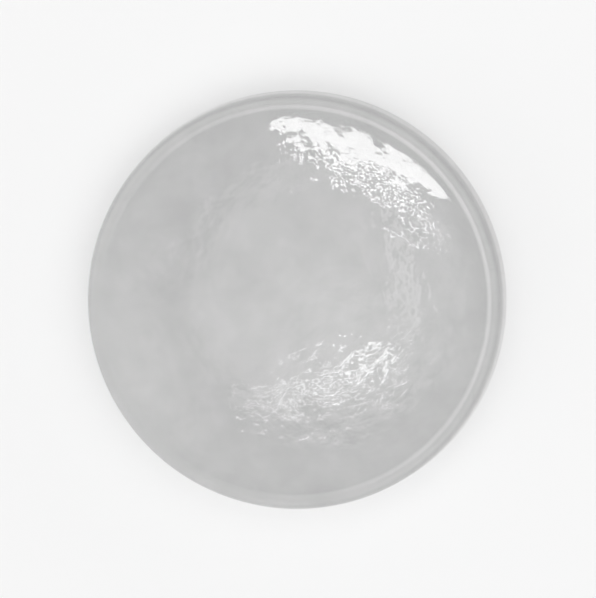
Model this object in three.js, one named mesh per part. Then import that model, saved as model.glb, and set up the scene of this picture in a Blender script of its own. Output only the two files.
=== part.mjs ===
// A clear self-adhesive door bumper: a low elastomer dome that is stuck inside a cabinet door,
// so that the door closes softly and quietly. Millimetres, +Z up. The origin is the middle of
// the sticky face, which lies in z = 0, and the crown points up.
import * as THREE from "three";

// The moulded dome.
const baseDiameter = 12.7; // across the foot, half an inch
const footRadius = 0.12; // soft edge where the mould closes on the film
const wallHeight = 0.92; // up the drafted side wall, from the foot to the shoulder
const wallDraft = THREE.MathUtils.degToRad(4); // lean of the wall, which lets it leave the mould
const shoulderRadius = 1.2; // turns the wall into the crown
const crownRadius = 11.7; // of the shallow sphere that meets the cabinet

// The pressure-sensitive film that holds the dome on the door.
const filmThickness = 0.15;
const filmMargin = 0.25; // bare rim of the base outside the film

// Faceting.
const turnSteps = 96; // round the axis
const crownSteps = 14;
const shoulderSteps = 9;
const footSteps = 3;

const clearElastomer = new THREE.MeshStandardMaterial({
  name: "clear_elastomer",
  color: 0xcbcbcb,
  roughness: 0.08,
  metalness: 0,
  transparent: true,
  opacity: 0.7,
});

const clearAdhesive = new THREE.MeshStandardMaterial({
  name: "clear_adhesive",
  color: 0xd8d8d6,
  roughness: 0.45,
  metalness: 0,
  transparent: true,
  opacity: 0.8,
});

// Points along an arc of the profile, both ends included. Angles run anticlockwise from the
// profile's outward direction.
function arcPoints(centre, radius, fromAngle, toAngle, steps) {
  return Array.from({ length: steps + 1 }, (_, i) => {
    const angle = THREE.MathUtils.lerp(fromAngle, toAngle, i / steps);
    return new THREE.Vector2(
      centre.x + radius * Math.cos(angle),
      centre.y + radius * Math.sin(angle),
    );
  });
}

// The half section of the dome, in (distance from the axis, height). The foot fillet, the wall,
// the shoulder and the crown each meet the next at a tangent.
function domeProfile() {
  const foot = new THREE.Vector2(baseDiameter / 2, filmThickness);
  const alongWall = new THREE.Vector2(-Math.sin(wallDraft), Math.cos(wallDraft));
  const intoWall = new THREE.Vector2(-Math.cos(wallDraft), -Math.sin(wallDraft));

  // The fillet touches the base plane and the leaning wall.
  const footRise = footRadius * (1 + Math.sin(wallDraft));
  const footFillet = foot
    .clone()
    .addScaledVector(alongWall, footRise / Math.cos(wallDraft))
    .addScaledVector(intoWall, footRadius);

  const shoulder = foot
    .clone()
    .addScaledVector(alongWall, wallHeight)
    .addScaledVector(intoWall, shoulderRadius);

  // The crown's centre lies on the axis, where its sphere holds the shoulder's circle inside.
  const reach = crownRadius - shoulderRadius;
  const crown = new THREE.Vector2(0, shoulder.y - Math.sqrt(reach ** 2 - shoulder.x ** 2));
  const crownEdge = Math.atan2(shoulder.y - crown.y, shoulder.x);

  return [
    new THREE.Vector2(0, filmThickness),
    ...arcPoints(footFillet, footRadius, -Math.PI / 2, wallDraft, footSteps),
    ...arcPoints(shoulder, shoulderRadius, wallDraft, crownEdge, shoulderSteps),
    ...arcPoints(crown, crownRadius, crownEdge, Math.PI / 2, crownSteps).slice(1, -1),
    new THREE.Vector2(0, crown.y + crownRadius),
  ];
}

function bumperDome() {
  const geometry = new THREE.LatheGeometry(domeProfile(), turnSteps).rotateX(Math.PI / 2);
  const dome = new THREE.Mesh(geometry, clearElastomer);
  dome.name = "bumper_dome";
  return dome;
}

function adhesiveFilm() {
  const radius = baseDiameter / 2 - footRadius - filmMargin;
  const geometry = new THREE.CylinderGeometry(radius, radius, filmThickness, turnSteps)
    .rotateX(Math.PI / 2)
    .translate(0, 0, filmThickness / 2);
  const film = new THREE.Mesh(geometry, clearAdhesive);
  film.name = "adhesive_film";
  return film;
}

const bumper = new THREE.Group();
bumper.add(bumperDome(), adhesiveFilm());

export default bumper;
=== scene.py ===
import math

import bpy
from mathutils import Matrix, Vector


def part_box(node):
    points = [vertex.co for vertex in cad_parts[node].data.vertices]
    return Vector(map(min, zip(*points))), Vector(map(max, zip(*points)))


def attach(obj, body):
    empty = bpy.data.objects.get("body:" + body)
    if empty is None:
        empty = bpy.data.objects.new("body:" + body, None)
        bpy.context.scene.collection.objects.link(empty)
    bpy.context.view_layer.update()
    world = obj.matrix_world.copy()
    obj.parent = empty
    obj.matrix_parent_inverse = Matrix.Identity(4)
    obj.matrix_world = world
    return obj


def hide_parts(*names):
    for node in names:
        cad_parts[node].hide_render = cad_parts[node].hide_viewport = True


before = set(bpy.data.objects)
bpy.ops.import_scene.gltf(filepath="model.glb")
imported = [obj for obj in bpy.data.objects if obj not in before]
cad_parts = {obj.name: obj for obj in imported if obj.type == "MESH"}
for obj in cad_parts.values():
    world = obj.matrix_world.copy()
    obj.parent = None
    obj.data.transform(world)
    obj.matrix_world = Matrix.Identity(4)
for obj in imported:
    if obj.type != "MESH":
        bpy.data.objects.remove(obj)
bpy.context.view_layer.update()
bpy.ops.object.select_all(action="DESELECT")

# The dome
#
# One low button of clear polyurethane, cast in an open mould. Its crown is a shallow sphere,
# its rim a tight round, and the side wall leans in a little so that it leaves the mould. The
# skin has the soft ripple that the cast keeps, which breaks up what it mirrors.

MM = 0.001
foot_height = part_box("bumper_dome")[0].z
foot_diameter = 12.7 * MM
foot_radius = 0.12 * MM
wall_height = 0.92 * MM
wall_draft = math.radians(4)
shoulder_radius = 1.2 * MM
crown_radius = 11.7 * MM
turn_steps = 256
foot_steps = 8
shoulder_steps = 24
crown_steps = 40
smooth_below = math.radians(40)


def arc_rings(centre, radius, start, end, steps):
    """Distance from the axis and height of the rings along one arc of the dome's section."""
    angles = [start + (end - start) * i / steps for i in range(steps + 1)]
    return [(centre[0] + radius * math.cos(a), centre[1] + radius * math.sin(a)) for a in angles]


# The section's arcs meet at a tangent, from the foot's soft edge up to the crown.
lean = (math.cos(wall_draft), math.sin(wall_draft))
foot_rise = foot_radius * (1 + lean[1])
foot_centre = (
    foot_diameter / 2 - foot_rise * lean[1] / lean[0] - foot_radius * lean[0],
    foot_height + foot_radius,
)
shoulder_centre = (
    foot_diameter / 2 - wall_height * lean[1] - shoulder_radius * lean[0],
    foot_height + wall_height * lean[0] - shoulder_radius * lean[1],
)
reach = crown_radius - shoulder_radius
crown_centre = (0, shoulder_centre[1] - math.sqrt(reach**2 - shoulder_centre[0] ** 2))
crown_edge = math.atan2(shoulder_centre[1] - crown_centre[1], shoulder_centre[0])

dome_rings = arc_rings(foot_centre, foot_radius, -math.pi / 2, wall_draft, foot_steps)
dome_rings += arc_rings(shoulder_centre, shoulder_radius, wall_draft, crown_edge, shoulder_steps)
dome_rings += arc_rings(crown_centre, crown_radius, crown_edge, math.pi / 2, crown_steps)[1:]

first_radius, first_height = dome_rings[0]
bpy.ops.mesh.primitive_circle_add(
    vertices=turn_steps, radius=first_radius, fill_type="NGON", location=(0, 0, first_height)
)
dome = bpy.context.object
dome.name = "dome"
bpy.ops.object.transform_apply(location=True, rotation=False, scale=False)
bpy.ops.object.mode_set(mode="EDIT")
last_radius, last_height = first_radius, first_height
for ring_radius, ring_height in dome_rings[1:]:
    pole = ring_radius < 1e-6
    bpy.ops.mesh.extrude_region_move(
        TRANSFORM_OT_translate={"value": (0, 0, ring_height - last_height)}
    )
    if pole:
        bpy.ops.mesh.merge(type="CENTER")
    else:
        grow = ring_radius / last_radius
        bpy.ops.transform.resize(value=(grow, grow, 1), center_override=(0, 0, ring_height))
    last_radius, last_height = ring_radius, ring_height
bpy.ops.mesh.select_all(action="SELECT")
bpy.ops.mesh.normals_make_consistent(inside=False)
bpy.ops.mesh.select_all(action="DESELECT")
bpy.ops.object.mode_set(mode="OBJECT")

# The flat foot is inset, so that its smooth edge bends only a narrow rim of it.
foot_rim = 0.2 * MM
for face in dome.data.polygons:
    face.select = len(face.vertices) == turn_steps
bpy.ops.object.mode_set(mode="EDIT")
bpy.ops.mesh.select_mode(type="FACE")
bpy.ops.mesh.inset(thickness=foot_rim)
bpy.ops.object.mode_set(mode="OBJECT")
bpy.ops.object.shade_smooth_by_angle(angle=smooth_below)


class Finish:
    """A socket of a material's nodes. Arithmetic on it adds the nodes that work it out."""

    def __init__(self, material, socket=None):
        self.material = material
        self.socket = socket

    def node(self, kind, settings=None, sockets=None, output=0):
        """Adds a node with its settings, then the value or link of each named socket."""
        made = self.material.node_tree.nodes.new("ShaderNode" + kind)
        for name, value in (settings or {}).items():
            setattr(made, name, value)
        for name, value in (sockets or {}).items():
            if isinstance(value, Finish):
                self.material.node_tree.links.new(value.socket, made.inputs[name])
            else:
                made.inputs[name].default_value = value
        return Finish(self.material, made.outputs[output])

    def math(self, operation, *values):
        return self.node("Math", {"operation": operation}, dict(enumerate(values)))

    def __add__(self, other):
        return self.math("ADD", self, other)

    def __rsub__(self, other):
        return self.math("SUBTRACT", other, self)

    def __mul__(self, other):
        return self.math("MULTIPLY", self, other)

    __radd__ = __add__
    __rmul__ = __mul__


def new_finish(name):
    """A material with only its shader left to link, and a Finish to add its nodes from."""
    material = bpy.data.materials.new(name)
    material.use_nodes = True
    shader = material.node_tree.nodes["Principled BSDF"]
    return material, shader, Finish(material)


def feed(shader, name, finish):
    """Links a Finish to one of the shader's sockets."""
    finish.material.node_tree.links.new(finish.socket, shader.inputs[name])


dome_material, dome_shader, dome_nodes = new_finish("clear_elastomer")
dome_shader.inputs["IOR"].default_value = 1.5
dome_shader.inputs["Transmission Weight"].default_value = 1
place = dome_nodes.node("TexCoord", output="Object")
height = dome_nodes.node("SeparateXYZ", sockets={"Vector": place}, output="Z")

# The body is a clear light grey. Its side wall, from just above the foot to the start of the
# shoulder, is coloured a deeper grey: painted shade, which draws the dark line round the rim.
body_grey = (0.71, 0.71, 0.71, 1)
painted_rim_shade = (0.48, 0.48, 0.48, 1)
rim_shade_start = (0.16 * MM, 0.3 * MM)
rim_shade_end = (1.46 * MM, 1.7 * MM)
above_foot = dome_nodes.node(
    "MapRange",
    sockets={"Value": height, "From Min": rim_shade_start[0], "From Max": rim_shade_start[1]},
)
below_shoulder = dome_nodes.node(
    "MapRange",
    {"interpolation_type": "SMOOTHSTEP"},
    {"Value": height, "From Min": rim_shade_end[0], "From Max": rim_shade_end[1], "To Min": 1, "To Max": 0},
)
feed(
    dome_shader,
    "Base Color",
    dome_nodes.node(
        "Mix",
        {"data_type": "RGBA"},
        {0: above_foot * below_shoulder, 6: body_grey, 7: painted_rim_shade},
        output=2,
    ),
)

# The ripple of the skin fades out towards the shoulder. The wall and the foot are almost smooth.
ripple_fade = (1.9 * MM, 2.8 * MM)
ripple_depth = 0.04 * MM
ripple_least = 0.04
crown = dome_nodes.node(
    "MapRange",
    {"interpolation_type": "SMOOTHSTEP"},
    {"Value": height, "From Min": ripple_fade[0], "From Max": ripple_fade[1]},
)
swell = dome_nodes.node("TexNoise", sockets={"Vector": place, "Scale": 1500, "Detail": 0})
ripple = dome_nodes.node("TexNoise", sockets={"Vector": place, "Scale": 4200, "Detail": 0})
pebble = dome_nodes.node("TexNoise", sockets={"Vector": place, "Scale": 9000, "Detail": 0})
skin = (swell + 0.35 * ripple + 0.12 * pebble) * (ripple_least + (1 - ripple_least) * crown)
feed(
    dome_shader,
    "Normal",
    dome_nodes.node("Bump", sockets={"Height": skin, "Strength": 1, "Distance": ripple_depth}),
)
# A faint haze makes what the skin mirrors a little softer here and there.
haze = dome_nodes.node(
    "TexNoise", sockets={"Vector": place, "Scale": 900, "Detail": 3, "Roughness": 0.6}
)
feed(dome_shader, "Roughness", 0.03 + 0.05 * haze)

# The film wets the flat foot, so light goes straight through it there, with nothing mirrored.
wetted_to = (foot_height + 0.0005 * MM, foot_height + 0.002 * MM)
above_wetted = dome_nodes.node(
    "MapRange", sockets={"Value": height, "From Min": wetted_to[0], "From Max": wetted_to[1]}
)
feed(dome_shader, "Alpha", above_wetted)
dome.data.materials.append(dome_material)
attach(dome, "root")
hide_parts("bumper_dome")

# The adhesive film
#
# A disc of pressure-sensitive acrylic, die-cut a little smaller than the foot and rolled onto
# it. It is clear but hazy, and it wets the dome, so nothing is mirrored where the two meet.

film_foot, film_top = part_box("adhesive_film")
film_radius = film_top.x
film_bite = 0.01 * MM
film_height = film_top.z - film_foot.z + film_bite
film_steps = 192
cut_edge = 0.03 * MM

bpy.ops.object.select_all(action="DESELECT")
bpy.ops.mesh.primitive_circle_add(vertices=film_steps, radius=film_radius, fill_type="NGON")
film = bpy.context.object
film.name = "film"
bpy.ops.object.mode_set(mode="EDIT")
bpy.ops.mesh.extrude_region_move(TRANSFORM_OT_translate={"value": (0, 0, film_height)})
bpy.ops.mesh.select_all(action="SELECT")
bpy.ops.mesh.normals_make_consistent(inside=False)
bpy.ops.object.mode_set(mode="OBJECT")
bevel = film.modifiers.new("cut_edge", "BEVEL")
bevel.width = cut_edge
bevel.segments = 3
bevel.limit_method = "ANGLE"
bpy.ops.object.modifier_apply(modifier=bevel.name)
bpy.ops.object.shade_smooth_by_angle(angle=smooth_below)

# The film is painted paler towards its edge, painted light that evens out the darker rim under
# this lighting, and it is cloudy all over.
film_middle = (0.5, 0.5, 0.5, 1)
painted_rim_light = (0.85, 0.85, 0.85, 1)
film_material, film_shader, film_nodes = new_finish("clear_adhesive")
place = film_nodes.node("TexCoord", output="Object")
cloud = film_nodes.node(
    "TexNoise", sockets={"Vector": place, "Scale": 700, "Detail": 4, "Roughness": 0.6}
)
sideways = film_nodes.node("SeparateXYZ", sockets={"Vector": place}, output="X")
upwards = film_nodes.node("SeparateXYZ", sockets={"Vector": place}, output="Y")
from_middle = film_nodes.math("SQRT", sideways * sideways + upwards * upwards)
rim_light_fade = (0.5 * film_radius, 0.95 * film_radius)
edge = film_nodes.node(
    "MapRange",
    {"interpolation_type": "SMOOTHSTEP"},
    {"Value": from_middle, "From Min": rim_light_fade[0], "From Max": rim_light_fade[1]},
)
feed(
    film_shader,
    "Base Color",
    film_nodes.node(
        "Mix",
        {"data_type": "RGBA"},
        {0: 0.75 * edge + 0.25 * cloud, 6: film_middle, 7: painted_rim_light},
        output=2,
    ),
)
feed(film_shader, "Roughness", 0.35 + 0.2 * cloud)
feed(film_shader, "Alpha", 0.08 + 0.16 * cloud)
film.data.materials.append(film_material)
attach(film, "root")
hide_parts("adhesive_film")

# The floor
#
# A wide, plain, matt white board that the bumper lies on. To the camera, and in glass, part of
# its white is its own, so that the soft shadow round the bumper stays faint.

floor_radius = 1.5
floor_steps = 96
floor_drop = 0.01 * MM
floor_white = 0.92
own_white = 0.37
bpy.ops.object.select_all(action="DESELECT")
bpy.ops.mesh.primitive_circle_add(
    vertices=floor_steps, radius=floor_radius, fill_type="NGON", location=(0, 0, -floor_drop)
)
floor = bpy.context.object
floor.name = "floor"
floor_material, floor_shader, floor_nodes = new_finish("floor_board")
straight = floor_nodes.node("LightPath", output="Is Camera Ray")
mirrored = floor_nodes.node("LightPath", output="Is Glossy Ray")
through = floor_nodes.node("LightPath", output="Is Transmission Ray")
seen = floor_nodes.math("MINIMUM", straight + mirrored + through, 1)
feed(floor_shader, "Base Color", floor_white - own_white * seen)
feed(floor_shader, "Emission Color", own_white * seen)
floor_shader.inputs["Emission Strength"].default_value = 1
floor_shader.inputs["Roughness"].default_value = 0.9
floor_shader.inputs["Specular IOR Level"].default_value = 0
floor.data.materials.append(floor_material)

# The light
#
# A round canopy overhead, a darker gap below it, and a bright band along the horizon, which the
# shoulder mirrors as a thin ring. The room does the lighting. The soft boxes are there for the
# crown to mirror: a strong one with two strips at the upper right, and weak ones below and beside.


def aim(azimuth, zenith):
    """The direction that is this many degrees round from +X, and this many down from straight up."""
    azimuth, zenith = math.radians(azimuth), math.radians(zenith)
    return (
        math.sin(zenith) * math.cos(azimuth),
        math.sin(zenith) * math.sin(azimuth),
        math.cos(zenith),
    )


world = bpy.data.worlds.new("even_light")
world.use_nodes = True
bpy.context.scene.world = world
sky = Finish(world)
ray = sky.node("TexCoord", output="Generated")


def towards(azimuth, zenith):
    """How nearly a ray goes in a direction: 1 along it, 0 across it."""
    return sky.node("VectorMath", {"operation": "DOT_PRODUCT"}, {0: ray, 1: aim(azimuth, zenith)}, "Value")


def glow(azimuth, zenith, tightness):
    """A soft round glow: 1 in this direction, and 0 behind. A higher tightness makes it smaller."""
    return sky.math("POWER", sky.math("MAXIMUM", towards(azimuth, zenith), 0), tightness)


canopy_lean = 8
canopy_edge = (math.cos(math.radians(49)), math.cos(math.radians(37)))
canopy = sky.node(
    "MapRange",
    {"interpolation_type": "SMOOTHSTEP"},
    {"Value": towards(0, canopy_lean), "From Min": canopy_edge[0], "From Max": canopy_edge[1]},
)
horizon_top = (0.18, 0.32)
horizon = sky.node(
    "MapRange",
    {"interpolation_type": "SMOOTHSTEP"},
    {
        "Value": towards(0, 0),
        "From Min": horizon_top[0],
        "From Max": horizon_top[1],
        "To Min": 1,
        "To Max": 0,
    },
)
left_glow = glow(205, 62, tightness=8)
overhead_glow = glow(-50, 22, tightness=16)

# The horizon is brighter to the upper right, where the rim's thin ring is at its lightest.
gap_level = 0.12
canopy_level = 1.17
overhead_level = 1.3
horizon_level = 1.9 + 1.5 * towards(30, 90)
left_level = 1.3
room = gap_level + canopy_level * canopy + overhead_level * overhead_glow
room = room + horizon * horizon_level + left_level * left_glow
background = world.node_tree.nodes["Background"]
background.inputs["Color"].default_value = (1, 1, 1, 1)
feed(background, "Strength", room)

box_distance = 0.4


def soft_box(name, azimuth, zenith, width, height, watts, shines_in=False):
    """A soft box that faces the bumper, its width along the horizon.

    The bumper mirrors it. Its light goes into the dome only where shines_in says so.
    """
    bpy.ops.object.select_all(action="DESELECT")
    bpy.ops.object.light_add(
        type="AREA",
        location=[box_distance * part for part in aim(azimuth, zenith)],
        rotation=(math.radians(zenith), 0, math.radians(azimuth + 90)),
    )
    lamp = bpy.context.object
    lamp.name = name
    lamp.data.shape = "ELLIPSE"
    lamp.data.size = width
    lamp.data.size_y = height
    lamp.data.energy = watts
    lamp.visible_camera = False
    lamp.visible_diffuse = False
    lamp.visible_transmission = shines_in


soft_box("key_box", 68, 50.6, 0.45, 0.056, 0.66, shines_in=True)
soft_box("key_strip_high", 61, 44.5, 0.36, 0.012, 0.15)
soft_box("key_strip_higher", 60, 38.5, 0.42, 0.012, 0.17)
soft_box("fill_strip_high", -68, 24.5, 0.32, 0.010, 0.08)
soft_box("fill_strip_middle", -76, 30, 0.42, 0.010, 0.09)
soft_box("fill_strip_low", -80, 35.5, 0.36, 0.010, 0.055)
soft_box("fill_box", -50, 29, 0.13, 0.022, 0.06)
soft_box("side_strip", 8, 31, 0.30, 0.05, 0.06)

# The camera
#
# Almost straight above, leaning a little to the upper right, as far off as a long lens stands.

bpy.ops.object.select_all(action="DESELECT")
lens = 300
sensor = 36
bumper_share = 0.7
view_ray = aim(40, 6.5)
stand_off = foot_diameter / bumper_share * lens / sensor

# It looks back along the view ray at the middle of the foot, and +Y stays up in the picture.
bpy.ops.object.camera_add(
    location=[stand_off * part for part in view_ray],
    rotation=(-math.asin(view_ray[1]), math.atan2(view_ray[0], view_ray[2]), 0),
)
camera = bpy.context.object
camera.data.lens = lens
camera.data.sensor_width = sensor
camera.data.clip_start = 0.001
bpy.context.scene.camera = camera

bpy.context.scene.view_settings.view_transform = "Standard"
